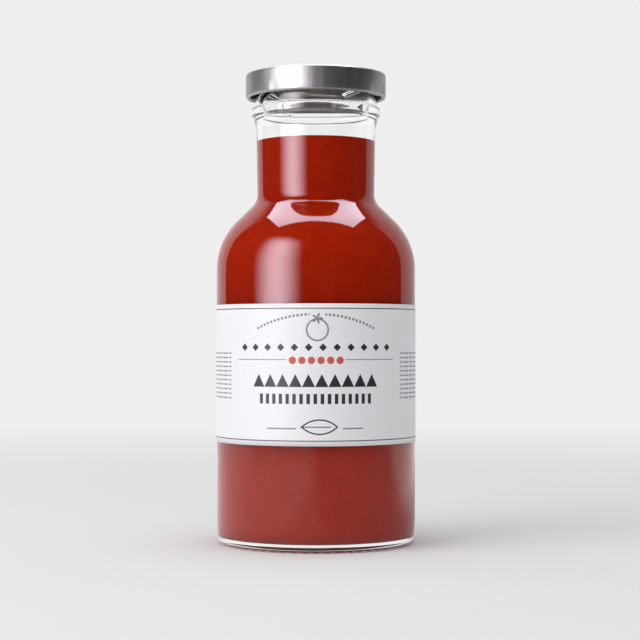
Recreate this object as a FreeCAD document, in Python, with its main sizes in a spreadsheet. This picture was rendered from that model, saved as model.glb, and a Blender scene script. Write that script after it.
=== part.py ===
"""A clear glass sauce bottle with a twist-off cap, a wrap-round paper label and a filling of
tomato ketchup.

Millimetres. The origin is on the table, under the bottle's axis. +Z is up and the middle of
the label faces -Y. Angles are in degrees from +X, anticlockwise seen from above.

Four pieces, each a solid of its own:
    bottle  blown glass: heel, shoulder, neck, transfer bead and a multi-start lug finish
    sauce   the filling, with the shape of the cavity up to the fill level in the neck
    cap     pressed tinplate: raised ring, sunk panel, skirt, rolled edge and lugs
    label   a paper band round the straight side, with a gap at the back
"""
import FreeCAD, Part
import math
import os
import Sketcher

SHEET = "sizes"

# Every size that is set by itself, with what it measures.
DRIVING_SIZES = [
    ("total_height", 152.0, "from the table to the top of the cap"),
    ("body_diameter", 64.5, "outside of the straight side"),
    ("wall", 2.6, "glass of the straight side and the shoulder"),
    ("heel_taper", 0.55, "how far the foot of the heel lies inside the straight side"),
    ("heel_height", 6.5, "where the straight side begins"),
    ("heel_round", 1.6, "radius between the heel and the bearing ring"),
    ("ring_width", 5.2, "bearing ring, measured in from the foot of the heel"),
    ("punt_slope", 3.0, "width of the slope inside the bearing ring"),
    ("punt_depth", 1.5, "how far the base is pushed up"),
    ("punt_round", 1.5, "radius at the top of that slope"),
    ("floor_height", 2.5, "inside of the base, over the table"),
    ("floor_round", 3.5, "radius between the base and the side, inside"),
    ("shoulder_angle", 46.0, "cone of the shoulder, degrees from upright"),
    ("shoulder_round", 22.0, "radius over the shoulder, outside"),
    ("neck_length", 23.3, "from the top of the cone to where the neck spreads"),
    ("neck_wall", 2.4, "glass at the foot of the neck"),
    ("neck_root_round", 5.6, "radius in the root of the neck, outside"),
    ("bore_root_round", 5.0, "radius in the root of the neck, inside"),
    ("neck_flare", 0.35, "how much the neck's radius grows along its length"),
    ("spread_length", 3.7, "height over which the neck spreads towards the bead"),
    ("spread_reach", 0.75, "how much the radius grows there, outside and in the bore"),
    ("bead_height", 3.4, "transfer bead under the finish"),
    ("bead_reach", 1.05, "how far the bead stands out of the finish"),
    ("bead_round", 0.6, "radius on the edges of the bead"),
    ("bead_to_cap", 3.0, "free height between the bead and the cap"),
    ("finish_wall", 2.35, "glass that the threads stand on"),
    ("rim_round", 0.7, "radius on the edges of the rim"),
    ("thread_depth", 1.35, "how far a thread stands out of the finish"),
    ("thread_root", 1.7, "height of a thread's section at the wall"),
    ("thread_crest", 0.7, "height of a thread's section at its top"),
    ("thread_embed", 0.4, "how far a thread's section goes into the wall"),
    ("thread_to_bead", 0.15, "free height between a thread's lower end and the bead"),
    ("thread_to_curl", 0.2, "free width between a thread and the cap's rolled edge"),
    ("thread_angle", 204.0, "lower end of the first thread"),
    ("stop_sweep", 26.0, "steep lower part of a thread, degrees"),
    ("thread_sweep", 60.0, "gentle upper part of a thread, degrees"),
    ("thread_lead", 12.0, "rise of the gentle part in a full turn"),
    ("lug_count", 4, "lugs on the cap, and threads on the finish"),
    ("lug_sweep", 18.0, "width of a lug, degrees"),
    ("lug_height", 1.1, "height of a lug"),
    ("lug_to_thread", 0.15, "free height between a lug and the thread over it"),
    ("lug_to_stop", 2.0, "turn left between a lug and the steep part, degrees"),
    ("lug_to_finish", 0.55, "free width between a lug's tip and the finish"),
    ("cap_diameter", 45.5, "outside of the skirt"),
    ("cap_height", 7.9, "height of the cap"),
    ("cap_metal", 0.25, "thickness of the tinplate"),
    ("cap_round", 0.9, "radius between the ring and the skirt, outside"),
    ("curl_diameter", 1.5, "outside of the rolled edge"),
    ("panel_to_mouth", 0.4, "free width between the sunk panel's slope and the mouth"),
    ("panel_drop", 0.7, "how far the panel lies below the ring"),
    ("panel_slope", 0.8, "width of the slope from the ring to the panel"),
    ("headroom", 21.6, "from the level of the sauce to the top of the cap"),
    ("label_to_shoulder", 11.57, "straight glass over the label"),
    ("label_height", 43.9, "height of the label"),
    ("label_paper", 0.15, "thickness of the paper"),
    ("label_gap", 6.0, "bare glass between the ends of the label"),
    ("label_angle", 270.0, "middle of the label"),
]


class Size:
    """A number together with the spreadsheet formula that gives it, so that a shape can be
    drawn at the number and bound to the formula."""

    def __init__(self, number, formula=None):
        self.number = float(number)
        self.formula = formula or repr(float(number))

    def joined(self, sign, other, number):
        return Size(number, f"({self.formula} {sign} {other.formula})")

    def __add__(self, other):
        return self.joined("+", other, self.number + other.number)

    def __sub__(self, other):
        return self.joined("-", other, self.number - other.number)

    def __mul__(self, other):
        return self.joined("*", other, self.number * other.number)

    def __truediv__(self, other):
        return self.joined("/", other, self.number / other.number)

    def tangent(self):
        """The tangent of this size, which is an angle in degrees."""
        formula = f"tan({self.formula} * 1 deg)"
        return Size(math.tan(math.radians(self.number)), formula)


ZERO = Size(0)
HALF = Size(0.5)
FULL_TURN = Size(360)
PI = Size(math.pi)


def make_sheet(document):
    """Writes the driving sizes into a spreadsheet and returns them by name."""
    sheet = document.addObject("Spreadsheet::Sheet", SHEET)
    sizes = {}
    for row, (alias, number, meaning) in enumerate(DRIVING_SIZES, start=1):
        sheet.set(f"A{row}", meaning)
        sheet.set(f"B{row}", str(number))
        sheet.setAlias(f"B{row}", alias)
        sizes[alias] = Size(number, f"{SHEET}.{alias}")
    document.recompute()
    return sizes


def bind(item, name, size):
    """Ties a property to the spreadsheet."""
    item.setExpression(name, size.formula)


# ---------------------------------------------------------------- sketches and features


def new_body(document, label):
    body = document.addObject("PartDesign::Body", label)
    body.Label = label
    body.Placement = FreeCAD.Placement()
    return body


def origin_feature(body, role):
    """The body's own origin plane or axis with this role."""
    return next(item for item in body.Origin.OriginFeatures if item.Role == role)


def new_sketch(body, name, angle=None):
    """A sketch in the upright plane through the axis, with x for the radius and y for the
    height. An angle turns the plane round the axis."""
    sketch = body.newObject("Sketcher::SketchObject", name)
    sketch.AttachmentSupport = [(origin_feature(body, "XZ_Plane"), "")]
    sketch.MapMode = "FlatFace"
    if angle is not None:
        upright = FreeCAD.Vector(0, 1, 0)
        turn = FreeCAD.Rotation(upright, angle.number)
        sketch.AttachmentOffset = FreeCAD.Placement(FreeCAD.Vector(), turn)
        bind(sketch, "AttachmentOffset.Rotation.Angle", angle)
    return sketch


def pin(sketch, curve, end, name, radius=None, height=None):
    """Fixes a curve's end (1 its start, 2 its end, 3 its centre) at a radius and a height."""
    targets = (("DistanceX", radius, -2, "radius"), ("DistanceY", height, -1, "height"))
    for kind, size, axis, word in targets:
        if size is None:
            continue
        if size is ZERO:
            sketch.addConstraint(Sketcher.Constraint("PointOnObject", curve, end, axis))
            continue
        constraint = Sketcher.Constraint(kind, -1, 1, curve, end, size.number)
        index = sketch.addConstraint(constraint)
        sketch.renameConstraint(index, f"{name}_{word}")
        bind(sketch, f"Constraints.{name}_{word}", size)


def flat_point(corner):
    radius, height = corner
    return FreeCAD.Vector(radius.number, height.number, 0)


def draw_outline(sketch, corners):
    """A closed outline of straight lines through named corners, each a radius and a height."""
    names = list(corners)
    following = names[1:] + names[:1]
    for name, after in zip(names, following):
        line = Part.LineSegment(flat_point(corners[name]), flat_point(corners[after]))
        sketch.addGeometry(line)
    for index, name in enumerate(names):
        after = (index + 1) % len(names)
        sketch.addConstraint(Sketcher.Constraint("Coincident", index, 2, after, 1))
        radius, height = corners[name]
        pin(sketch, index, 1, name, radius, height)


def revolve(body, sketch, name, sweep=FULL_TURN):
    """Turns a sketch round the axis, the same way to both sides of its plane."""
    feature = body.newObject("PartDesign::Revolution", name)
    feature.Profile = sketch
    feature.ReferenceAxis = (sketch, ["V_Axis"])
    feature.Midplane = True
    bind(feature, "Angle", sweep)
    body.Document.recompute()
    return feature


def round_rings(body, name, radius, corners):
    """Rounds the ring-shaped edges at the given corners."""
    base = body.Tip
    edges = []
    for ring_radius, height in corners:
        for index, edge in enumerate(base.Shape.Edges, start=1):
            curve = edge.Curve
            if not isinstance(curve, Part.Circle):
                continue
            off_radius = abs(curve.Radius - ring_radius.number)
            off_height = abs(curve.Center.z - height.number)
            if off_radius + off_height < 1e-3:
                edges.append(f"Edge{index}")
    if len(edges) < len(corners):
        raise RuntimeError(f"{name}: an edge to round is missing")
    feature = body.newObject("PartDesign::Fillet", name)
    feature.Base = (base, edges)
    bind(feature, "Radius", radius)
    body.Document.recompute()
    return feature


def repeat_round(body, name, features, count):
    """Repeats features evenly round the axis."""
    pattern = body.newObject("PartDesign::PolarPattern", name)
    pattern.Originals = features
    pattern.Axis = (origin_feature(body, "Z_Axis"), [""])
    pattern.Angle = FULL_TURN.number
    bind(pattern, "Occurrences", count)
    body.Tip = pattern
    body.Document.recompute()
    return pattern


# ---------------------------------------------------------------- shared geometry


def cap_bottom(sizes):
    return sizes["total_height"] - sizes["cap_height"]


def rim_height(sizes):
    """The top of the glass, which the metal of the cap rests on."""
    return sizes["total_height"] - sizes["cap_metal"]


def side_radius(sizes):
    return sizes["body_diameter"] * HALF


def skirt_radius(sizes):
    return sizes["cap_diameter"] * HALF


def finish_radius(sizes):
    """The wall under the threads: the crests of the threads just clear the rolled edge."""
    crest = skirt_radius(sizes) - sizes["curl_diameter"] - sizes["thread_to_curl"]
    return crest - sizes["thread_depth"]


def mouth_radius(sizes):
    return finish_radius(sizes) - sizes["finish_wall"]


def bore_radius(sizes):
    """The bore of the neck, which spreads to the mouth where the outside spreads."""
    return mouth_radius(sizes) - sizes["spread_reach"]


def neck_radius(sizes):
    return bore_radius(sizes) + sizes["neck_wall"]


def bead_heights(sizes):
    """The lower and the upper edge of the transfer bead, which lies a gap under the cap."""
    upper = cap_bottom(sizes) - sizes["bead_to_cap"]
    return upper - sizes["bead_height"], upper


def spread_height(sizes):
    """Where the neck begins to spread towards the bead."""
    return bead_heights(sizes)[0] - sizes["spread_length"]


def root_height(sizes):
    """Where the cone of the shoulder and the neck would meet."""
    return spread_height(sizes) - sizes["neck_length"]


def shoulder_height(sizes):
    """Where the straight side and the cone of the shoulder would meet."""
    width = side_radius(sizes) - neck_radius(sizes)
    return root_height(sizes) - width / sizes["shoulder_angle"].tangent()


def cavity_corners(sizes, top_height):
    """The inside of the bottle from the middle of its base up to a height in the neck. The
    cone of the shoulder lies parallel to the outside, one wall further in."""
    side = side_radius(sizes) - sizes["wall"]
    bore = bore_radius(sizes)
    angle = sizes["shoulder_angle"]
    shoulder = shoulder_height(sizes) - sizes["wall"] * (angle * HALF).tangent()
    root = shoulder + (side - bore) / angle.tangent()
    return {
        "floor_middle": (ZERO, sizes["floor_height"]),
        "floor_edge": (side, sizes["floor_height"]),
        "shoulder_inside": (side, shoulder),
        "neck_root_inside": (bore, root),
        "cavity_top": (bore, top_height),
    }


def round_cavity(body, sizes, corners):
    """The radii that the inside of the glass and the sauce share."""
    inner_shoulder = sizes["shoulder_round"] - sizes["wall"]
    round_rings(body, "shoulder_round_inside", inner_shoulder, [corners["shoulder_inside"]])
    root_round = sizes["bore_root_round"]
    round_rings(body, "root_round_inside", root_round, [corners["neck_root_inside"]])
    round_rings(body, "floor_round_inside", sizes["floor_round"], [corners["floor_edge"]])


# ---------------------------------------------------------------- the bottle


def outer_corners(sizes):
    """The outside of the bottle from the middle of the punt up to the rim."""
    side = side_radius(sizes)
    foot = side - sizes["heel_taper"]
    punt = foot - sizes["ring_width"]
    neck = neck_radius(sizes)
    neck_top = neck + sizes["neck_flare"]
    under_bead = neck_top + sizes["spread_reach"]
    finish = finish_radius(sizes)
    bead = finish + sizes["bead_reach"]
    bead_low, bead_high = bead_heights(sizes)
    return {
        "punt_middle": (ZERO, sizes["punt_depth"]),
        "punt_edge": (punt - sizes["punt_slope"], sizes["punt_depth"]),
        "ring_inner": (punt, ZERO),
        "foot": (foot, ZERO),
        "heel_top": (side, sizes["heel_height"]),
        "shoulder": (side, shoulder_height(sizes)),
        "neck_root": (neck, root_height(sizes)),
        "neck_top": (neck_top, spread_height(sizes)),
        "under_bead": (under_bead, bead_low),
        "bead_lower": (bead, bead_low + bead - under_bead),
        "bead_upper": (bead, bead_high),
        "finish_foot": (finish, bead_high),
        "rim_outer": (finish, rim_height(sizes)),
    }


def add_thread_part(body, sizes, name, angle, height, rise, sweep):
    """One stretch of thread: a section that narrows outwards, carried up round the finish."""
    inner = finish_radius(sizes) - sizes["thread_embed"]
    outer = finish_radius(sizes) + sizes["thread_depth"]
    root = sizes["thread_root"] * HALF
    crest = sizes["thread_crest"] * HALF
    sketch = new_sketch(body, f"{name}_section", angle)
    draw_outline(
        sketch,
        {
            "root_low": (inner, height - root),
            "crest_low": (outer, height - crest),
            "crest_high": (outer, height + crest),
            "root_high": (inner, height + root),
        },
    )
    helix = body.newObject("PartDesign::AdditiveHelix", name)
    helix.Profile = sketch
    helix.ReferenceAxis = (sketch, ["V_Axis"])
    helix.Mode = "height-turns-angle"
    bind(helix, "Height", rise)
    bind(helix, "Turns", sweep / FULL_TURN)
    body.Document.recompute()
    return helix


def add_threads(body, sizes):
    """Each thread starts with a steep part that stops a lug, and goes on gently over it."""
    half_root = sizes["thread_root"] * HALF
    low = bead_heights(sizes)[1] + sizes["thread_to_bead"] + half_root
    lug_top = cap_bottom(sizes) + sizes["lug_height"]
    bend = lug_top + sizes["lug_to_thread"] + half_root
    bend_angle = sizes["thread_angle"] + sizes["stop_sweep"]
    climb = sizes["thread_lead"] * sizes["thread_sweep"] / FULL_TURN
    stop = add_thread_part(
        body, sizes, "thread_stop", sizes["thread_angle"], low, bend - low, sizes["stop_sweep"]
    )
    run = add_thread_part(
        body, sizes, "thread_run", bend_angle, bend, climb, sizes["thread_sweep"]
    )
    repeat_round(body, "threads", [stop, run], sizes["lug_count"])


def make_bottle(document, sizes):
    body = new_body(document, "bottle")
    outer = outer_corners(sizes)
    cavity = cavity_corners(sizes, spread_height(sizes))
    mouth = mouth_radius(sizes)
    outline = dict(outer)
    outline["rim_inner"] = (mouth, rim_height(sizes))
    outline["mouth_foot"] = (mouth, bead_heights(sizes)[0])
    for name in reversed(cavity):
        outline[name] = cavity[name]
    sketch = new_sketch(body, "bottle_section")
    draw_outline(sketch, outline)
    revolve(body, sketch, "glass")
    round_rings(body, "shoulder_round_outside", sizes["shoulder_round"], [outer["shoulder"]])
    round_rings(body, "neck_root_outside", sizes["neck_root_round"], [outer["neck_root"]])
    round_cavity(body, sizes, cavity)
    round_rings(body, "heel_round_outside", sizes["heel_round"], [outer["foot"]])
    round_rings(body, "punt_rounding", sizes["punt_round"], [outer["punt_edge"]])
    bead = [outer["bead_lower"], outer["bead_upper"]]
    round_rings(body, "bead_rounding", sizes["bead_round"], bead)
    rim = [outline["rim_outer"], outline["rim_inner"]]
    round_rings(body, "rim_rounding", sizes["rim_round"], rim)
    add_threads(body, sizes)
    return body


# ---------------------------------------------------------------- the sauce


def make_sauce(document, sizes):
    body = new_body(document, "sauce")
    level = sizes["total_height"] - sizes["headroom"]
    outline = cavity_corners(sizes, level)
    outline["level_middle"] = (ZERO, level)
    sketch = new_sketch(body, "sauce_section")
    draw_outline(sketch, outline)
    revolve(body, sketch, "filling")
    round_cavity(body, sizes, outline)
    return body


# ---------------------------------------------------------------- the cap


def draw_cap_section(sketch, sizes):
    """The tinplate in section: panel, slope, ring and skirt, one thickness apart, with the
    rolled edge as a round bead whose outer side runs on from the skirt."""
    metal = sizes["cap_metal"]
    skirt = skirt_radius(sizes)
    top = sizes["total_height"]
    ring = mouth_radius(sizes) - sizes["panel_to_mouth"]
    panel = ring - sizes["panel_slope"]
    panel_top = top - sizes["panel_drop"]
    curl = sizes["curl_diameter"] * HALF
    curl_height = cap_bottom(sizes) + curl
    opening = curl.number - metal.number
    curl_reach = math.sqrt(curl.number**2 - opening**2)
    curl_end = (skirt - metal, curl_height + Size(curl_reach))
    corners = {
        "curl_side": (skirt, curl_height),
        "skirt_top": (skirt, top),
        "ring_edge": (ring, top),
        "panel_edge": (panel, panel_top),
        "panel_middle": (ZERO, panel_top),
        "panel_under_middle": (ZERO, panel_top - metal),
        "panel_under_edge": (panel, panel_top - metal),
        "ring_under_edge": (ring, top - metal),
        "skirt_inside_top": (skirt - metal, top - metal),
    }
    names = list(corners)
    points = [flat_point(corner) for corner in corners.values()]
    points.append(flat_point(curl_end))
    for start, end in zip(points, points[1:]):
        sketch.addGeometry(Part.LineSegment(start, end))
    middle = FreeCAD.Vector(skirt.number - curl.number, curl_height.number, 0)
    circle = Part.Circle(middle, FreeCAD.Vector(0, 0, 1), curl.number)
    end_angle = math.atan2(curl_reach, opening)
    roll = sketch.addGeometry(Part.ArcOfCircle(circle, end_angle, 2 * math.pi))
    for index, name in enumerate(names):
        radius, height = corners[name]
        pin(sketch, index, 1, name, radius, height)
        if index + 1 < len(names):
            sketch.addConstraint(Sketcher.Constraint("Coincident", index, 2, index + 1, 1))
    inside_line = len(names) - 1
    sketch.addConstraint(Sketcher.Constraint("Coincident", inside_line, 2, roll, 1))
    sketch.addConstraint(Sketcher.Constraint("Coincident", roll, 2, 0, 1))
    pin(sketch, roll, 3, "curl_middle", skirt - curl, curl_height)
    pin(sketch, roll, 1, "curl_end", radius=skirt - metal)
    return corners


def add_lugs(body, sizes):
    """The rolled edge is pressed inwards into lugs, which hook under the threads next to
    their steep parts."""
    root = skirt_radius(sizes) - sizes["cap_metal"]
    tip = finish_radius(sizes) + sizes["lug_to_finish"]
    half_curl = sizes["curl_diameter"] * HALF
    bottom = cap_bottom(sizes)
    top = bottom + sizes["lug_height"]
    stop_end = sizes["thread_angle"] + sizes["stop_sweep"]
    middle = stop_end + sizes["lug_to_stop"] + sizes["lug_sweep"] * HALF
    sketch = new_sketch(body, "lug_section", middle)
    draw_outline(
        sketch,
        {
            "tip_low": (tip, bottom),
            "root_low": (root - half_curl, bottom),
            "root_middle": (root, bottom + half_curl),
            "root_high": (root, top),
            "tip_high": (tip, top),
        },
    )
    lug = revolve(body, sketch, "lug", sizes["lug_sweep"])
    repeat_round(body, "lugs", [lug], sizes["lug_count"])


def make_cap(document, sizes):
    body = new_body(document, "cap")
    sketch = new_sketch(body, "cap_section")
    corners = draw_cap_section(sketch, sizes)
    revolve(body, sketch, "tinplate")
    inner_round = sizes["cap_round"] - sizes["cap_metal"]
    round_rings(body, "cap_round_outside", sizes["cap_round"], [corners["skirt_top"]])
    round_rings(body, "cap_round_inside", inner_round, [corners["skirt_inside_top"]])
    add_lugs(body, sizes)
    return body


# ---------------------------------------------------------------- the label


def make_label(document, sizes):
    body = new_body(document, "label")
    inner = side_radius(sizes)
    outer = inner + sizes["label_paper"]
    round_start = sizes["shoulder_round"] * (sizes["shoulder_angle"] * HALF).tangent()
    top = shoulder_height(sizes) - round_start - sizes["label_to_shoulder"]
    bottom = top - sizes["label_height"]
    sketch = new_sketch(body, "label_section", sizes["label_angle"])
    draw_outline(
        sketch,
        {
            "inner_low": (inner, bottom),
            "outer_low": (outer, bottom),
            "outer_high": (outer, top),
            "inner_high": (inner, top),
        },
    )
    bare = sizes["label_gap"] * FULL_TURN / (PI * sizes["body_diameter"])
    revolve(body, sketch, "paper", FULL_TURN - bare)
    return body


# ---------------------------------------------------------------- document


def check(document, bodies):
    """Stops the script if anything in the document has failed."""
    for item in document.Objects:
        if "Invalid" in item.State or "Error" in item.State:
            raise RuntimeError(f"{item.Name} has failed: {item.State}")
    for body in bodies:
        shape = body.Shape
        if shape.isNull() or not shape.isValid():
            raise RuntimeError(f"{body.Label} has no valid shape")
        if len(shape.Solids) != 1:
            raise RuntimeError(f"{body.Label} has {len(shape.Solids)} solids")


def report(body):
    box = body.Shape.BoundBox
    print(
        f"{body.Label}: {body.Shape.Volume / 1000:.2f} cm3,"
        f" {box.XLength:.2f} x {box.YLength:.2f} x {box.ZLength:.2f} mm,"
        f" z {box.ZMin:.2f} to {box.ZMax:.2f}"
    )


document = FreeCAD.newDocument("sauce_bottle")
sizes = make_sheet(document)
bodies = [make(document, sizes) for make in (make_bottle, make_sauce, make_cap, make_label)]
document.recompute()
check(document, bodies)
os.makedirs("parts", exist_ok=True)
for body in bodies:
    report(body)
    body.Shape.exportStep(f"parts/{body.Label}.step")
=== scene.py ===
"""A clear glass sauce bottle with a twist-off cap, a wrap-round paper label and a filling of
tomato ketchup, standing on a pale studio floor. Lengths in the pieces' sections are millimetres
and become metres where a mesh is made. The studio is in metres."""
import math

import bpy
import numpy as np
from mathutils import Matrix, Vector


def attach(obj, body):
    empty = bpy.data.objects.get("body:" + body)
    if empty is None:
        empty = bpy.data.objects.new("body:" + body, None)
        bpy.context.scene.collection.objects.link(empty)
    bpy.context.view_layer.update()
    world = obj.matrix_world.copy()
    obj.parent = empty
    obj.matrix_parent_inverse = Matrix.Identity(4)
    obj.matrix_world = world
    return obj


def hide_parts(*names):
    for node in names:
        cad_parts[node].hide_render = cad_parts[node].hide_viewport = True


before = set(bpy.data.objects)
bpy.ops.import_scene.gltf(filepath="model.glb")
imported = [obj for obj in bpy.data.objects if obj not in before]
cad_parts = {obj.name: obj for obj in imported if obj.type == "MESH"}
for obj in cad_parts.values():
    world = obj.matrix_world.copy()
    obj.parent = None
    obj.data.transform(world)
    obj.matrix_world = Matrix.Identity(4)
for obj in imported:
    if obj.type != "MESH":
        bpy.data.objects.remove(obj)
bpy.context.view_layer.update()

# ============================================================================================
# The bottle: pressed and blown clear glass, in one piece from the knurled bearing ring to the
# rim. The finish carries four threads that the cap's lugs hook under, and under it stands the
# transfer bead. The section is rounded corner by corner and turned round the axis.
# ============================================================================================
PUNT, PUNT_HEIGHT = 23.5, 1.5
RING_INSIDE, RING_OUTSIDE = 26.5, 31.7
KNURLS = 56
SIDE, SIDE_FOOT = 32.25, 6.5
WALL = 2.6
FLOOR = 2.5
CONE = math.radians(46)
SHOULDER_ROUND = 22.0
NECK, NECK_ROOT = 19.0, 110.7
BORE = 16.6
SPREAD, SPREAD_FOOT = 19.35, 134.0
BEAD_ROOT, BEAD_ROOT_HEIGHT = 20.1, 137.7
BEAD, BEAD_FOOT, BEAD_TOP = 20.75, 138.35, 141.1
FINISH = 19.7
MOUTH = 17.35
RIM = 151.75
THREADS = 4
SHOULDER = NECK_ROOT - (SIDE - NECK) / math.tan(CONE)
INNER_SHOULDER = SHOULDER - WALL * math.tan(CONE / 2)
INNER_ROOT = INNER_SHOULDER + (SIDE - WALL - BORE) / math.tan(CONE)


def straight_run(start, stop, spacing):
    """Points one spacing apart from a start up to a stop, without the stop itself. On a run of
    eight spacings or more they lie four spacings apart."""
    length = np.hypot(*(stop - start))
    step = spacing if length < 8 * spacing else 4 * spacing
    count = max(1, int(math.ceil(length / step)))
    return start + (stop - start) * np.linspace(0, 1, count, endpoint=False)[:, None]


def rounded_path(corners, spacing):
    """A path of straight runs whose corners, each (radius, height, rounding), are replaced by
    arcs that touch both runs: an arc leaves its run at the rounding times the tangent of half
    the turn. Points lie about one spacing apart on short runs and closer on arcs."""
    points = np.array([corner[:2] for corner in corners], dtype=float)
    roundings = [corner[2] for corner in corners]
    pieces = []
    last = points[0]
    for index in range(1, len(points) - 1):
        corner = points[index]
        way_in = corner - points[index - 1]
        way_out = points[index + 1] - corner
        way_in /= np.hypot(*way_in)
        way_out /= np.hypot(*way_out)
        turn = math.atan2(
            way_in[0] * way_out[1] - way_in[1] * way_out[0], float(way_in @ way_out)
        )
        rounding = roundings[index]
        if rounding <= 0:
            start, arc = corner, corner[None, :]
        else:
            start = corner - way_in * rounding * math.tan(abs(turn) / 2)
            side = np.array([-way_in[1], way_in[0]]) * math.copysign(1, turn)
            middle = start + side * rounding
            steps = max(4, int(math.ceil(abs(turn) * rounding / spacing)) + 3)
            angles = np.linspace(0, turn, steps + 1)
            spoke = start - middle
            cosines, sines = np.cos(angles), np.sin(angles)
            arc = middle + np.stack(
                [spoke[0] * cosines - spoke[1] * sines, spoke[0] * sines + spoke[1] * cosines],
                axis=1,
            )
        pieces.append(straight_run(last, start, spacing))
        pieces.append(arc[:-1])
        last = arc[-1]
    pieces.append(straight_run(last, points[-1], spacing))
    return np.concatenate(pieces + [points[-1:]])


def mesh_object(name, vertices, faces):
    """An object at the origin from vertices in millimetres and a list of face index arrays."""
    mesh = bpy.data.meshes.new(name)
    counts = np.concatenate([np.full(len(block), block.shape[1]) for block in faces])
    corners = np.concatenate([block.ravel() for block in faces]).astype(np.int32)
    mesh.vertices.add(len(vertices))
    mesh.vertices.foreach_set("co", (vertices / 1000).astype(np.float32).ravel())
    mesh.loops.add(len(corners))
    mesh.loops.foreach_set("vertex_index", corners)
    mesh.polygons.add(len(counts))
    starts = np.concatenate([[0], np.cumsum(counts)[:-1]])
    mesh.polygons.foreach_set("loop_start", starts.astype(np.int32))
    mesh.update(calc_edges=True)
    mesh.validate()
    mesh.polygons.foreach_set("use_smooth", np.ones(len(mesh.polygons), dtype=bool))
    result = bpy.data.objects.new(name, mesh)
    bpy.context.scene.collection.objects.link(result)
    return result


def turned(name, path, segments, radius_change=None, height_change=None):
    """The surface (r cos a, r sin a, z) of a section path turned round the axis. The path runs
    from axis to axis with its outside on the right, and both ends close to a single point.
    The changes are functions of angle, radius and height that add relief."""
    ring = path[1:-1]
    angles = np.linspace(0, 2 * np.pi, segments, endpoint=False)
    angle, radius = np.meshgrid(angles, ring[:, 0])
    height = np.repeat(ring[:, 1:2], segments, axis=1)
    new_radius = radius + (radius_change(angle, radius, height) if radius_change else 0)
    new_height = height + (height_change(angle, radius, height) if height_change else 0)
    grid = np.stack(
        [new_radius * np.cos(angle), new_radius * np.sin(angle), new_height], axis=2
    ).reshape(-1, 3)
    poles = np.array([[0, 0, path[0, 1]], [0, 0, path[-1, 1]]])
    rows = len(ring)
    row, column = np.meshgrid(np.arange(rows - 1), np.arange(segments), indexing="ij")
    after = (column + 1) % segments
    quads = np.stack(
        [
            row * segments + column,
            row * segments + after,
            (row + 1) * segments + after,
            (row + 1) * segments + column,
        ],
        axis=2,
    ).reshape(-1, 4)
    column = np.arange(segments)
    after = (column + 1) % segments
    first = np.full(segments, rows * segments)
    last = first + 1
    end_row = (rows - 1) * segments
    low_fan = np.stack([first, after, column], axis=1)
    high_fan = np.stack([last, end_row + column, end_row + after], axis=1)
    return mesh_object(name, np.concatenate([grid, poles]), [quads, low_fan, high_fan])


def smooth(value):
    """Goes from 0 to 1 with no slope at either end, as 3t^2 - 2t^3."""
    value = np.clip(value, 0, 1)
    return value * value * (3 - 2 * value)


def thread_relief(angle, radius, height):
    """How far a thread stands out: a rounded ridge about a centre line. With the angle, the
    line climbs evenly from low to bend over its steep part, and after that by the lead for
    each whole turn. The ridge fades out at both ends."""
    start = math.radians(204)
    stop, run = math.radians(26), math.radians(60)
    fade_in, fade_out = math.radians(5), math.radians(12)
    low, bend, lead = 142.1, 146.2, 12.0
    depth, half, steepness = 1.35, 1.0, 1.6
    relief = np.zeros_like(radius)
    for index in range(THREADS):
        along = (angle - start - index * 2 * np.pi / THREADS) % (2 * np.pi)
        steep = low + (bend - low) * np.clip(along / stop, 0, 1)
        centre = steep + lead * np.clip(along - stop, 0, run) / (2 * np.pi)
        across = np.clip(1 - np.abs(height - centre) / half, 0, 1)
        ends = smooth(along / fade_in) * smooth((stop + run - along) / fade_out)
        relief = np.maximum(relief, depth * np.minimum(1, steepness * smooth(across)) * ends)
    return relief


def bottle_radius_change(angle, radius, height):
    """The threads, on the outer wall of the finish only."""
    on_finish = (radius > FINISH - 0.05) & (height > BEAD_TOP) & (height < RIM - 0.8)
    return np.where(on_finish, thread_relief(angle, radius, height), 0)


def bottle_height_change(angle, radius, height):
    """The knurling of the bearing ring: bars across it, parted by shallow grooves where the
    cosine of the angle times their number is low, and fading to both edges of the ring."""
    middle, half, depth = 29.2, 2.4, 0.4
    place = np.clip(1 - np.abs(radius - middle) / half, 0, 1)
    bar = smooth((np.cos(KNURLS * angle) + 0.75) / 0.5)
    return np.where(height < 0.5, depth * (1 - bar) * smooth(place * 2.5), 0)


# The threads need closer points than the rest of the section does.
thread_rows = [(FINISH, height, 0) for height in np.linspace(BEAD_TOP + 1.2, RIM - 1.7, 48)]
bottle_path = rounded_path(
    [
        (0, PUNT_HEIGHT, 0),
        (PUNT, PUNT_HEIGHT, 1.5),
        (RING_INSIDE, 0, 0.6),
        (RING_OUTSIDE, 0, 1.6),
        (SIDE, SIDE_FOOT, 24),
        (SIDE, SHOULDER, SHOULDER_ROUND),
        (NECK, NECK_ROOT, 5.6),
        (SPREAD, SPREAD_FOOT, 12),
        (BEAD_ROOT, BEAD_ROOT_HEIGHT, 1.2),
        (BEAD, BEAD_FOOT, 0.6),
        (BEAD, BEAD_TOP, 0.6),
        (FINISH, BEAD_TOP, 0.35),
        *thread_rows,
        (FINISH, RIM, 0.7),
        (MOUTH, RIM, 0.7),
        (MOUTH, BEAD_ROOT_HEIGHT, 17.0),
        (BORE, SPREAD_FOOT, 17.0),
        (BORE, INNER_ROOT, 5.0),
        (SIDE - WALL, INNER_SHOULDER, SHOULDER_ROUND - WALL),
        (SIDE - WALL, FLOOR, 3.5),
        (0, FLOOR, 0),
    ],
    1.1,
)
segments = 6 * KNURLS
bottle = turned("bottle_glass", bottle_path, segments, bottle_radius_change, bottle_height_change)


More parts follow.
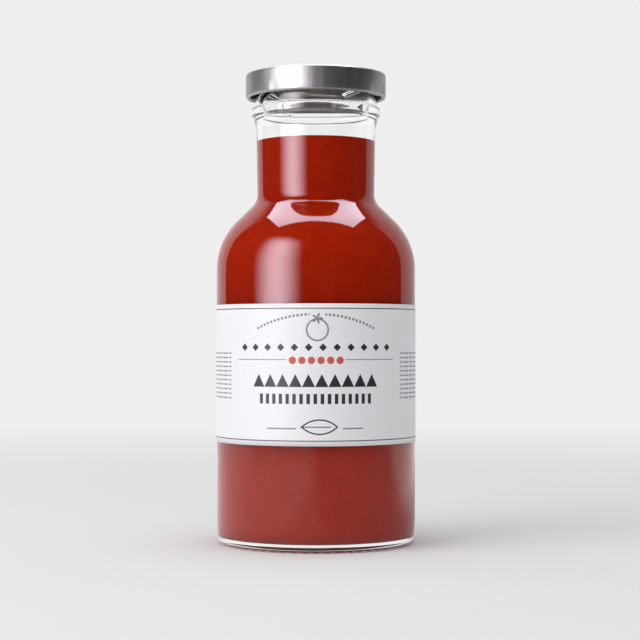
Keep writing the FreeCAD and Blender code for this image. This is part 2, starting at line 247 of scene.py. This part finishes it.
def new_material(name):
    """An empty node material with its output; returns the material, its tree and output."""
    material = bpy.data.materials.new(name)
    material.use_nodes = True
    tree = material.node_tree
    tree.nodes.clear()
    return material, tree, tree.nodes.new("ShaderNodeOutputMaterial")


def set_inputs(node, **values):
    """Sets sockets by name, with underscores for spaces."""
    for name, value in values.items():
        node.inputs[name.replace("_", " ")].default_value = value


def math_node(tree, operation, first, second=None, clamp=False):
    """A Math node fed by sockets or numbers; returns its output."""
    node = tree.nodes.new("ShaderNodeMath")
    node.operation = operation
    node.use_clamp = clamp
    for socket, value in zip(node.inputs, (first, second)):
        if value is None:
            continue
        if isinstance(value, (int, float)):
            socket.default_value = value
        else:
            tree.links.new(value, socket)
    return node.outputs["Value"]


def smooth_range(tree, value, low, high, out_low=0.0, out_high=1.0):
    """A smooth step from one value to another over a range."""
    node = tree.nodes.new("ShaderNodeMapRange")
    node.interpolation_type = "SMOOTHSTEP"
    tree.links.new(value, node.inputs["Value"])
    set_inputs(node, From_Min=low, From_Max=high, To_Min=out_low, To_Max=out_high)
    return node.outputs["Result"]


def surface_grain():
    """A group that gives a soft random value and the normal of a surface that rises and falls
    with it: Scale is in lumps per metre and Depth is the height of a lump in metres."""
    group = bpy.data.node_groups.new("surface_grain", "ShaderNodeTree")
    sockets = group.interface
    sockets.new_socket(name="Vector", in_out="INPUT", socket_type="NodeSocketVector")
    sockets.new_socket(name="Scale", in_out="INPUT", socket_type="NodeSocketFloat")
    sockets.new_socket(name="Depth", in_out="INPUT", socket_type="NodeSocketFloat")
    sockets.new_socket(name="Value", in_out="OUTPUT", socket_type="NodeSocketFloat")
    sockets.new_socket(name="Normal", in_out="OUTPUT", socket_type="NodeSocketVector")
    taken = group.nodes.new("NodeGroupInput")
    given = group.nodes.new("NodeGroupOutput")
    noise = group.nodes.new("ShaderNodeTexNoise")
    set_inputs(noise, Detail=3.0, Roughness=0.55)
    bump = group.nodes.new("ShaderNodeBump")
    set_inputs(bump, Strength=1.0)
    group.links.new(taken.outputs["Vector"], noise.inputs["Vector"])
    group.links.new(taken.outputs["Scale"], noise.inputs["Scale"])
    group.links.new(taken.outputs["Depth"], bump.inputs["Distance"])
    group.links.new(noise.outputs["Fac"], bump.inputs["Height"])
    group.links.new(noise.outputs["Fac"], given.inputs["Value"])
    group.links.new(bump.outputs["Normal"], given.inputs["Normal"])
    return group


grain_group = surface_grain()


def grain(tree, scale, depth, stretch=(1, 1, 1)):
    """The grain group on the piece's own coordinates, drawn out by a stretch."""
    place = tree.nodes.new("ShaderNodeTexCoord")
    mapping = tree.nodes.new("ShaderNodeMapping")
    set_inputs(mapping, Scale=stretch)
    node = tree.nodes.new("ShaderNodeGroup")
    node.node_tree = grain_group
    set_inputs(node, Scale=scale, Depth=depth)
    tree.links.new(place.outputs["Object"], mapping.inputs["Vector"])
    tree.links.new(mapping.outputs["Vector"], node.inputs["Vector"])
    return node


def mixed_colour(tree, share, first, second):
    """A colour between two, each a plain colour or a socket, by a share from 0 to 1."""
    node = tree.nodes.new("ShaderNodeMix")
    node.data_type = "RGBA"
    tree.links.new(share, node.inputs["Factor"])
    for socket, colour in ((node.inputs[6], first), (node.inputs[7], second)):
        if isinstance(colour, tuple):
            socket.default_value = (*colour, 1)
        else:
            tree.links.new(colour, socket)
    return node.outputs[2]


glass, tree, output = new_material("clear_glass")
shader = tree.nodes.new("ShaderNodeBsdfPrincipled")
set_inputs(shader, Base_Color=(0.997, 1.0, 0.998, 1), Roughness=0.0, IOR=1.5)
shader.inputs["Transmission Weight"].default_value = 1.0
waves = grain(tree, 70.0, 0.00006)
tree.links.new(waves.outputs["Normal"], shader.inputs["Normal"])
tree.links.new(shader.outputs["BSDF"], output.inputs["Surface"])
bottle.data.materials.append(glass)
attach(bottle, "root")
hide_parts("bottle")

# ============================================================================================
# The sauce: smooth tomato ketchup, filled hot up to the neck. It wets the glass all over, so
# its surface lies a tenth of a millimetre inside the wall, and nothing holds it but the glass.
# ============================================================================================
LEVEL = 130.4
INTO_WALL = 0.1
RAISED = INTO_WALL * math.tan(CONE / 2)
sauce_path = rounded_path(
    [
        (0, FLOOR - INTO_WALL, 0),
        (SIDE - WALL + INTO_WALL, FLOOR - INTO_WALL, 3.6),
        (SIDE - WALL + INTO_WALL, INNER_SHOULDER + RAISED, SHOULDER_ROUND - WALL + INTO_WALL),
        (BORE + INTO_WALL, INNER_ROOT + RAISED, 4.9),
        (BORE + INTO_WALL, LEVEL, 0.15),
        (0, LEVEL, 0),
    ],
    1.1,
)
sauce = turned("sauce_filling", sauce_path, 192)
ketchup, tree, output = new_material("ketchup")
shader = tree.nodes.new("ShaderNodeBsdfPrincipled")
set_inputs(shader, Roughness=0.08, IOR=1.1)
pulp = grain(tree, 260.0, 0.0)
thickness = smooth_range(tree, pulp.outputs["Value"], 0.3, 0.7)
redness = mixed_colour(tree, thickness, (0.49, 0.019, 0.001), (0.55, 0.023, 0.0013))
tree.links.new(redness, shader.inputs["Base Color"])
# Seen at a glancing angle through the base, the wetted glass mirrors like the edge of a prism.
glancing = tree.nodes.new("ShaderNodeLayerWeight")
prism = smooth_range(tree, glancing.outputs["Facing"], 0.8, 0.9)
tree.links.new(prism, shader.inputs["Metallic"])
tree.links.new(prism, shader.inputs["Coat Weight"])
tree.links.new(shader.outputs["BSDF"], output.inputs["Surface"])
sauce.data.materials.append(ketchup)
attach(sauce, "root")
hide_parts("sauce")

# ============================================================================================
# The cap: a twist-off closure pressed from thin tinplate, with a raised ring over the rim, a
# sunk panel and a rolled edge. The edge is squeezed inwards at four lugs, which hook under the
# threads.
# ============================================================================================
SKIRT = 22.75
METAL = 0.25
TOP = 152.0
PANEL_DEPTH = 0.7
CURL = 0.75
CAP_BOTTOM = 144.1
# The rolled edge is a bead, drawn from the skirt's outside round to where it meets the inside.
curl_middle = (SKIRT - CURL, CAP_BOTTOM + CURL)
curl_angles = np.linspace(0, -2 * np.pi + math.acos((CURL - METAL) / CURL), 22)
curl_path = np.stack(
    [
        curl_middle[0] + CURL * np.cos(curl_angles),
        curl_middle[1] + CURL * np.sin(curl_angles),
    ],
    axis=1,
)
outside = rounded_path(
    [
        (0, TOP - PANEL_DEPTH, 0),
        (MOUTH - 1.2, TOP - PANEL_DEPTH, 0.8),
        (MOUTH - 0.4, TOP, 0.6),
        (SKIRT, TOP, 0.9),
        (SKIRT, curl_middle[1], 0),
    ],
    0.5,
)
inside = rounded_path(
    [
        (SKIRT - METAL, curl_path[-1, 1], 0),
        (SKIRT - METAL, TOP - METAL, 0.65),
        (MOUTH - 0.3, TOP - METAL, 0.6),
        (MOUTH - 1.1, TOP - PANEL_DEPTH - METAL, 0.6),
        (0, TOP - PANEL_DEPTH - METAL, 0),
    ],
    0.5,
)
cap_path = np.concatenate([outside[:-1], curl_path[:-1], inside])[::-1]


def lug_press(angle, radius, height):
    """The four lugs: over 26 degrees the rolled edge is squeezed in, by a third of a
    millimetre outside and a whole one inside, and it comes back out within 4 mm above."""
    middle = math.radians(241)
    half, fade = math.radians(13), math.radians(7)
    outside_depth, inside_depth = 0.35, 1.0
    reach_up, fade_up = 3.6, 2.6
    apart = 2 * np.pi / THREADS
    around = (angle - middle + apart / 2) % apart - apart / 2
    width = smooth((half - np.abs(around)) / fade)
    rise = smooth((CAP_BOTTOM + reach_up - height) / fade_up)
    inwards = np.clip((SKIRT - radius) / (2 * CURL), 0, 1)
    depth = outside_depth + (inside_depth - outside_depth) * inwards
    return -depth * width * rise


cap = turned("cap_tinplate", cap_path, 240, lug_press)
tinplate, tree, output = new_material("tinplate")
shader = tree.nodes.new("ShaderNodeBsdfPrincipled")
set_inputs(shader, Metallic=1.0)
rolled = grain(tree, 900.0, 0.000004, (1, 1, 0.06))
worn = grain(tree, 120.0, 0.0)
wear = smooth_range(tree, worn.outputs["Value"], 0.35, 0.7)
steel = mixed_colour(tree, wear, (0.35, 0.35, 0.345), (0.41, 0.41, 0.4))
polish = smooth_range(tree, rolled.outputs["Value"], 0.3, 0.7, 0.38, 0.46)
tree.links.new(steel, shader.inputs["Base Color"])
tree.links.new(polish, shader.inputs["Roughness"])
tree.links.new(rolled.outputs["Normal"], shader.inputs["Normal"])
tree.links.new(shader.outputs["BSDF"], output.inputs["Surface"])
cap.data.materials.append(tinplate)
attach(cap, "root")
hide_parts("cap")

# ============================================================================================
# The label: a band of smooth white paper, printed flat and glued round the straight side, with
# 6 mm of bare glass between its ends at the back.
# ============================================================================================
LABEL_BOTTOM = 33.1
LABEL_HEIGHT = 43.9
PAPER = 0.13
LABEL_RADIUS = SIDE + 0.02
label_reach = math.pi * SIDE - 3.0
label_columns, label_rows = 360, 24


def paper_sheet(name):
    """The surface (R cos a, R sin a, z) over the label's width and height, drawn once outside
    and once inside the paper, with the four edges closed. The map holds the distance round
    from the middle and the height, each as a share of its whole."""
    across = np.linspace(-label_reach, label_reach, label_columns + 1)
    up = np.linspace(0, LABEL_HEIGHT, label_rows + 1)
    distance, rise = np.meshgrid(across, up)
    angle = distance / SIDE - np.pi / 2
    sides = []
    for radius in (LABEL_RADIUS + PAPER, LABEL_RADIUS):
        shape = [radius * np.cos(angle), radius * np.sin(angle), LABEL_BOTTOM + rise]
        sides.append(np.stack(shape, axis=2).reshape(-1, 3))
    width = label_columns + 1
    size = width * (label_rows + 1)
    row, column = np.meshgrid(np.arange(label_rows), np.arange(label_columns), indexing="ij")
    corner = row * width + column
    front = np.stack([corner, corner + 1, corner + width + 1, corner + width], axis=2)
    front = front.reshape(-1, 4)
    back = front[:, ::-1] + size
    low = np.arange(label_columns)
    high = low + label_rows * width
    left = np.arange(label_rows) * width
    right = left + label_columns
    edges = [
        np.stack([low, low + size, low + size + 1, low + 1], axis=1),
        np.stack([high + 1, high + size + 1, high + size, high], axis=1),
        np.stack([left + width, left + width + size, left + size, left], axis=1),
        np.stack([right, right + size, right + width + size, right + width], axis=1),
    ]
    sheet = mesh_object(name, np.concatenate(sides), [front, back] + edges)
    shares = np.stack([distance / (2 * label_reach) + 0.5, rise / LABEL_HEIGHT], axis=2)
    shares = np.tile(shares.reshape(-1, 2), (2, 1))
    corners = np.zeros(len(sheet.data.loops), dtype=np.int32)
    sheet.data.loops.foreach_get("vertex_index", corners)
    layer = sheet.data.uv_layers.new(name="paper")
    layer.data.foreach_set("uv", shares[corners].astype(np.float32).ravel())
    return sheet


label = paper_sheet("label_paper_band")
paper, tree, output = new_material("label_paper")
map_node = tree.nodes.new("ShaderNodeUVMap")
map_node.uv_map = "paper"
split = tree.nodes.new("ShaderNodeSeparateXYZ")
tree.links.new(map_node.outputs["UV"], split.inputs[0])


def plus(first, second):
    """The sum of two sockets or numbers, in the node tree at hand."""
    return math_node(tree, "ADD", first, second)


def minus(first, second):
    """The first less the second."""
    return math_node(tree, "SUBTRACT", first, second)


def times(first, second):
    """The product of two sockets or numbers."""
    return math_node(tree, "MULTIPLY", first, second)


def remainder(value, pitch):
    """What is left of a value after whole pitches, from 0 up to one pitch."""
    return math_node(tree, "FLOORED_MODULO", value, pitch)


def off(value, middle):
    """How far a value lies from a middle, either way."""
    return math_node(tree, "ABSOLUTE", minus(value, middle))


# Millimetres round the bottle from the label's middle, and up from the table.
round_way = times(minus(split.outputs["X"], 0.5), 2 * label_reach)
up_way = plus(times(split.outputs["Y"], LABEL_HEIGHT), LABEL_BOTTOM)


def inked(distance, softness=0.07):
    """1 where a distance from a shape's edge is under 0, fading over a little more."""
    return smooth_range(tree, distance, softness, -softness)


def block(left, right, low, high):
    """The distance outside an upright rectangle: the larger of those outside its two spans."""
    wide = minus(off(round_way, (left + right) / 2), (right - left) / 2)
    tall = minus(off(up_way, (low + high) / 2), (high - low) / 2)
    return math_node(tree, "MAXIMUM", wide, tall)


def in_row(left, right, count):
    """The distance round from the middle of the nearest of a row's equal places."""
    pitch = (right - left) / count
    return off(remainder(minus(round_way, left), pitch), pitch / 2)


def either(*masks):
    """The largest of several masks or distances."""
    largest = masks[0]
    for mask in masks[1:]:
        largest = math_node(tree, "MAXIMUM", largest, mask)
    return largest


def within(mask, left, right, low, high):
    """A mask kept to a rectangle."""
    return times(mask, inked(block(left, right, low, high)))


def length_of(wide, tall):
    """The square root of the sum of two squares."""
    squares = plus(math_node(tree, "POWER", wide, 2), math_node(tree, "POWER", tall, 2))
    return math_node(tree, "SQRT", squares)


def away_from(across, up):
    """The distance from a point of the label."""
    return length_of(off(round_way, across), off(up_way, up))


# Dark ink: a rule near each edge of the label.
rules = either(*[inked(minus(off(up_way, height), 0.15)) for height in (75.5, 34.7)])

# A row of diamonds: across and up together are under a half width.
left, right, height = -26.4, 26.4, 63.5
diamond = plus(in_row(left, right, 12), off(up_way, height))
diamonds = within(inked(minus(diamond, 1.2)), left, right, height - 1.5, height + 1.5)

# A saw-tooth band: triangles whose sides fall from the middle of each place to its ends.
left, right, low, high, count = -20.6, 20.2, 51.3, 55.3, 10
slope = 2 * (high - low) * count / (right - left)
tooth = plus(minus(up_way, high), times(in_row(left, right, count), slope))
teeth = within(inked(tooth), left, right, low, high)

# A row of upright bars.
left, right, low, high = -18.7, 18.4, 46.1, 49.2
bars = within(inked(minus(in_row(left, right, 17), 0.55)), left, right, low, high)

# A leaf: the outline that two crossing circles share, and a straight vein.
across, height, centre, radius = 1.15, 39.0, 5.65, 7.85
leaf_edge = either(away_from(across, height - centre), away_from(across, height + centre))
leaf_line = inked(minus(off(leaf_edge, radius), 0.22))
leaf = either(leaf_line, inked(block(-4.9, 4.6, height - 0.15, height + 0.15)))
dark_ink = either(rules, diamonds, teeth, bars, leaf)

# Grey ink: ticks along an arc, left and right of the fruit.
arc_foot, arc_radius, pitch = 30.1, 43.6, 1.25
arc_angle = math_node(tree, "ARCTAN2", round_way, minus(up_way, arc_foot))
tick = inked(minus(off(remainder(times(arc_angle, arc_radius), pitch), 0.62), 0.36))
arc_band = inked(minus(off(away_from(0.0, arc_foot), arc_radius), 0.38))
tick = times(tick, arc_band)
ticks = either(within(tick, -19.3, -1.9, 66, 75), within(tick, 2.9, 19.3, 66, 75))

# A plain round fruit with five leaves, whose reach rises and falls with the angle.
across, fruit_height, leaf_height = 0.5, 68.9, 72.4
fruit = inked(minus(off(away_from(across, fruit_height), 3.3), 0.25))
leaf_turn = math_node(tree, "ARCTAN2", minus(up_way, leaf_height), minus(round_way, across))
leaf_reach = plus(times(math_node(tree, "COSINE", times(leaf_turn, 5.0)), 0.65), 1.1)
leaves = inked(minus(away_from(across, leaf_height), leaf_reach))

# Thin rules beside the dots, and short marks beside the leaf.
low, high = 59.6, 59.85
thin_rules = either(inked(block(-27.2, -9.3, low, high)), inked(block(9.3, 27.2, low, high)))
low, high = 38.3, 38.7
small_marks = either(inked(block(-15.6, -6.1, low, high)), inked(block(8.4, 15.0, low, high)))

# Lines of dashes on the two sides of the label.
low, high, line_pitch, dash_pitch = 46.9, 62.0, 1.4, 4.1
line = inked(minus(off(remainder(minus(up_way, low), line_pitch), line_pitch / 2), 0.2))
dash = inked(minus(off(remainder(round_way, dash_pitch), 2.0), 1.75))
line = times(line, dash)
side_lines = either(within(line, -58, -31, low, high), within(line, 31, 58, low, high))
grey_ink = either(ticks, fruit, leaves, thin_rules, small_marks, side_lines)

# Red ink: a short row of dots.
left, right, height = -8.7, 9.0, 59.5
dot = length_of(in_row(left, right, 6), off(up_way, height))
red_ink = within(inked(minus(dot, 1.15)), left, right, height - 2.5, height + 2.5)

fibre = grain(tree, 2200.0, 0.000006)
pale_fibre = smooth_range(tree, fibre.outputs["Value"], 0.3, 0.7)
sheet_white = mixed_colour(tree, pale_fibre, (0.79, 0.79, 0.82), (0.83, 0.83, 0.86))
printed = mixed_colour(tree, grey_ink, sheet_white, (0.2, 0.2, 0.21))
printed = mixed_colour(tree, dark_ink, printed, (0.02, 0.02, 0.022))
printed = mixed_colour(tree, red_ink, printed, (0.56, 0.085, 0.045))
shader = tree.nodes.new("ShaderNodeBsdfPrincipled")
tree.links.new(printed, shader.inputs["Base Color"])
tree.links.new(smooth_range(tree, dark_ink, 0.0, 1.0, 0.55, 0.42), shader.inputs["Roughness"])
tree.links.new(fibre.outputs["Normal"], shader.inputs["Normal"])
tree.links.new(shader.outputs["BSDF"], output.inputs["Surface"])
label.data.materials.append(paper)
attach(label, "root")
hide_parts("label")

# ============================================================================================
# The studio: a pale floor that fades into a pale backdrop, a large soft light at the left, a
# weaker one in front, one overhead and a weak fill from all round. The lamps aren't mirrored:
# two bright faces that only gloss shows stand for the softboxes.
# ============================================================================================
PALE = 0.86
PALE_THROUGH_GLASS = 0.95
DARK_ROOM = 0.03
FILL = 0.5


def seen_directly(tree):
    """Three masks: rays from the camera, a mirror or glass that have met nothing matt, then
    those of them that come off a mirror, and those that come out through glass. A ray through
    glass counts as glossy too, so it is taken off the mirror's share."""
    path = tree.nodes.new("ShaderNodeLightPath")
    through = path.outputs["Is Transmission Ray"]
    glossy = path.outputs["Is Glossy Ray"]
    seen = math_node(tree, "MAXIMUM", path.outputs["Is Camera Ray"], glossy)
    seen = math_node(tree, "MAXIMUM", seen, through)
    matt = math_node(tree, "LESS_THAN", path.outputs["Diffuse Depth"], 0.5)
    mirror = math_node(tree, "SUBTRACT", glossy, through, clamp=True)
    return math_node(tree, "MULTIPLY", seen, matt), mirror, through


floor_reach = 12.0
mesh = bpy.data.meshes.new("studio_floor")
corners = [(-1, -1), (1, -1), (1, 1), (-1, 1)]
mesh.from_pydata([(x * floor_reach, y * floor_reach, 0) for x, y in corners], [], [(0, 1, 2, 3)])
floor = bpy.data.objects.new("studio_floor", mesh)
bpy.context.scene.collection.objects.link(floor)
material, tree, output = new_material("studio_floor")
matt = tree.nodes.new("ShaderNodeBsdfDiffuse")
set_inputs(matt, Color=(0.8, 0.8, 0.8, 1))
glow = tree.nodes.new("ShaderNodeEmission")
set_inputs(glow, Color=(1, 1, 1, 1))
place = tree.nodes.new("ShaderNodeTexCoord")
length = tree.nodes.new("ShaderNodeVectorMath")
length.operation = "LENGTH"
tree.links.new(place.outputs["Object"], length.inputs[0])
far = smooth_range(tree, length.outputs["Value"], 0.1, 0.8)
seen, mirror, through = seen_directly(tree)
far = either(far, through, mirror)
split = tree.nodes.new("ShaderNodeSeparateXYZ")
tree.links.new(place.outputs["Object"], split.inputs[0])
# In gloss the floor is brighter on the left, and at the right behind the bottle, and it darkens
# towards the room in front.
lit_side = smooth_range(tree, split.outputs["X"], 0.045, -0.09, 0.5, 1.15)
far_side = smooth_range(tree, split.outputs["X"], 0.06, 0.2, 0.0, 0.65)
behind_side = smooth_range(tree, split.outputs["Y"], -0.02, 0.1)
in_front = smooth_range(tree, split.outputs["Y"], 0.0, -0.2)
out_there = smooth_range(tree, length.outputs["Value"], 0.3, 0.8, 0.0, 0.85)
in_gloss = plus(lit_side, times(far_side, behind_side))
in_gloss = times(in_gloss, minus(1.0, times(in_front, out_there)))
straight = smooth_range(tree, through, 0.0, 1.0, PALE, PALE_THROUGH_GLASS)
strength = plus(times(mirror, in_gloss), times(minus(1.0, mirror), straight))
tree.links.new(strength, glow.inputs["Strength"])
blend = tree.nodes.new("ShaderNodeMixShader")
tree.links.new(times(far, seen), blend.inputs[0])
tree.links.new(matt.outputs[0], blend.inputs[1])
tree.links.new(glow.outputs[0], blend.inputs[2])
tree.links.new(blend.outputs[0], output.inputs["Surface"])
mesh.materials.append(material)

world = bpy.data.worlds.new("studio_backdrop")
bpy.context.scene.world = world
world.use_nodes = True
tree = world.node_tree
tree.nodes.clear()
output = tree.nodes.new("ShaderNodeOutputWorld")
background = tree.nodes.new("ShaderNodeBackground")
set_inputs(background, Color=(1, 1, 1, 1))
place = tree.nodes.new("ShaderNodeTexCoord")
split = tree.nodes.new("ShaderNodeSeparateXYZ")
tree.links.new(place.outputs["Generated"], split.inputs[0])
# A pale sheet hangs behind the bottle. In gloss its two upright edges show, a little behind the
# sides, its right half is less bright, and the room beyond it and above it is dark.
sheet_left, sheet_right = math.radians(36.5), math.radians(25.0)
past_left = plus(split.outputs["Y"], times(split.outputs["X"], math.tan(sheet_left)))
past_right = minus(split.outputs["Y"], times(split.outputs["X"], math.tan(sheet_right)))
sheet = smooth_range(tree, math_node(tree, "MINIMUM", past_left, past_right), -0.01, 0.04)
under_ceiling = smooth_range(tree, split.outputs["Z"], 0.8, 0.6)
paleness = smooth_range(tree, split.outputs["X"], -0.1, 0.1, PALE, 0.65)
behind = either(times(times(sheet, under_ceiling), paleness), DARK_ROOM)
clear_way = smooth_range(tree, split.outputs["Y"], -0.4, 0.1, DARK_ROOM, PALE_THROUGH_GLASS)
seen, mirror, through = seen_directly(tree)
straight = times(minus(1.0, either(mirror, through)), PALE)
light = plus(plus(times(mirror, behind), times(through, clear_way)), straight)
strength = plus(times(seen, light), times(minus(1.0, seen), FILL))
tree.links.new(strength, background.inputs["Strength"])
tree.links.new(background.outputs[0], output.inputs["Surface"])


def aim(thing, place, target):
    """Puts a lamp, a card or the camera at a place and points its -Z at a target."""
    thing.location = place
    thing.rotation_euler = (Vector(target) - Vector(place)).to_track_quat("-Z", "Y").to_euler()


def soft_lamp(name, place, target, width, height, radiance):
    """A soft lamp that lights but isn't mirrored. Its power is radiance x area x pi."""
    lamp = bpy.data.lights.new(name, "AREA")
    lamp.shape = "RECTANGLE"
    lamp.size, lamp.size_y = width, height
    lamp.energy = radiance * width * height * math.pi
    thing = bpy.data.objects.new(name, lamp)
    bpy.context.scene.collection.objects.link(thing)
    aim(thing, place, target)
    thing.visible_glossy = False


def mirrored_card(name, place, target, outline, radiance, tint):
    """The bright face of a softbox with a flat outline, visible to mirror rays only; returns
    its material's tree and its glow."""
    mesh = bpy.data.meshes.new(name)
    mesh.from_pydata([(x, y, 0) for x, y in outline], [], [tuple(range(len(outline)))])
    card = bpy.data.objects.new(name, mesh)
    bpy.context.scene.collection.objects.link(card)
    aim(card, place, target)
    material, tree, output = new_material(name)
    glow = tree.nodes.new("ShaderNodeEmission")
    set_inputs(glow, Color=(*tint, 1), Strength=radiance)
    tree.links.new(glow.outputs[0], output.inputs["Surface"])
    mesh.materials.append(material)
    for ray in ("camera", "diffuse", "transmission", "volume_scatter", "shadow"):
        setattr(card, f"visible_{ray}", False)
    return tree, glow


SOFTBOX_REACH = 0.95


def round_to_the_left(degrees, height):
    """A place (R cos a, R sin a, height) at the softboxes' reach, so far left of the front."""
    angle = math.radians(-90 - degrees)
    return (SOFTBOX_REACH * math.cos(angle), SOFTBOX_REACH * math.sin(angle), height)


half_up = (0, 0, 0.08)
soft_lamp("key_softbox", round_to_the_left(58, 0.55), half_up, 0.9, 0.9, 2.4)
soft_lamp("front_fill", (0.3, -1.0, 0.35), half_up, 0.8, 0.8, 0.4)
soft_lamp("top_softbox", (0, 0.1, 1.0), (0, 0, 0.1), 1.2, 1.0, 0.9)

# The key's face is brightest along its middle, as a bell, and fades at its head and foot.
KEY_LIGHT = 10.5
face_wide, face_tall, face_height = 0.58, 0.6, 0.645
outline = [(x * face_wide, y * face_tall) for x, y in corners]
tree, glow = mirrored_card(
    "key_face",
    round_to_the_left(45, face_height),
    (0, 0, face_height),
    outline,
    KEY_LIGHT,
    (1.0, 0.92, 1.03),
)
place = tree.nodes.new("ShaderNodeTexCoord")
split = tree.nodes.new("ShaderNodeSeparateXYZ")
tree.links.new(place.outputs["Object"], split.inputs[0])
bell = smooth_range(tree, off(split.outputs["X"], 0.0), face_wide, 0.0, DARK_ROOM, KEY_LIGHT)
head = smooth_range(tree, split.outputs["Y"], face_tall, 0.05)
foot = smooth_range(tree, split.outputs["Y"], -face_tall, -face_tall + 0.06)
tree.links.new(times(bell, times(head, foot)), glow.inputs["Strength"])

# The overhead face is an evenly bright rectangle, a little cooler than the key.
top_place = (0.01, 0.16, 0.95)
outline = [(x * 0.513, y * 0.29) for x, y in corners]
mirrored_card("top_face", top_place, (0.01, 0.1601, 0.0), outline, 8.6, (0.87, 0.87, 1.0))

# The camera stands level in front of the bottle, at just under half its height.
eye_height = 0.0659
camera_data = bpy.data.cameras.new("camera")
camera_data.lens = 95.7
camera_data.sensor_width = 36.0
camera_data.shift_x = 4.2 / 640
camera_data.shift_y = 19.5 / 640
camera = bpy.data.objects.new("camera", camera_data)
bpy.context.scene.collection.objects.link(camera)
aim(camera, (0, -0.554, eye_height), (0, 0, eye_height))
bpy.context.scene.camera = camera
bpy.context.scene.view_settings.view_transform = "Standard"
